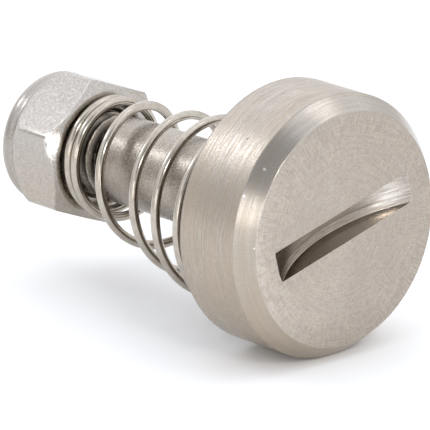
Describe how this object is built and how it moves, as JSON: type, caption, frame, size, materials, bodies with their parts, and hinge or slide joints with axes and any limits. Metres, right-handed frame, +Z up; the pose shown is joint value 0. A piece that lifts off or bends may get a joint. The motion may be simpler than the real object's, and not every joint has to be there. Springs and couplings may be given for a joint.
{
  "type": "pressure relief valve",
  "caption": "Slotted round relief-valve head on a threaded stem, with a conical return spring held by an adjustable self-locking hex nut.",
  "frame": {"origin": "on the stem's axis, in the plane of the head's annular seat face", "axes": "+X along the stem out of the head's slotted face, the nut is toward -X; +Z up as the valve lies on its side"},
  "size_m": [0.0422, 0.025, 0.025],
  "materials": {
    "head_steel": "turned and brushed stainless steel",
    "stem_steel": "satin, dull stainless steel",
    "spring_wire": "bright drawn stainless spring wire",
    "nut_steel": "plain stainless steel, cold formed",
    "nylon": "natural nylon"
  },
  "bodies": {
    "poppet": {"valve_head": "head_steel", "valve_stem": "stem_steel"},
    "spring": {"spring": "spring_wire"},
    "nut": {"lock_nut": "nut_steel", "locking_ring": "nylon"}
  },
  "joints": [
    {"name": "nut_advance", "type": "slide", "parent": "poppet", "child": "spring", "axis": [1, 0, 0], "range_m": [0, 0.0025], "deforming": ["spring"]},
    {"name": "nut_turn", "type": "hinge", "parent": "spring", "child": "nut", "pos_m": [-0.0272, 0, 0], "axis": [1, 0, 0], "range_deg": [0, 720]}
  ],
  "couplings": [
    {"joint": "nut_advance", "follows": "nut_turn", "m_per_rad": 0.00019894}
  ]
}
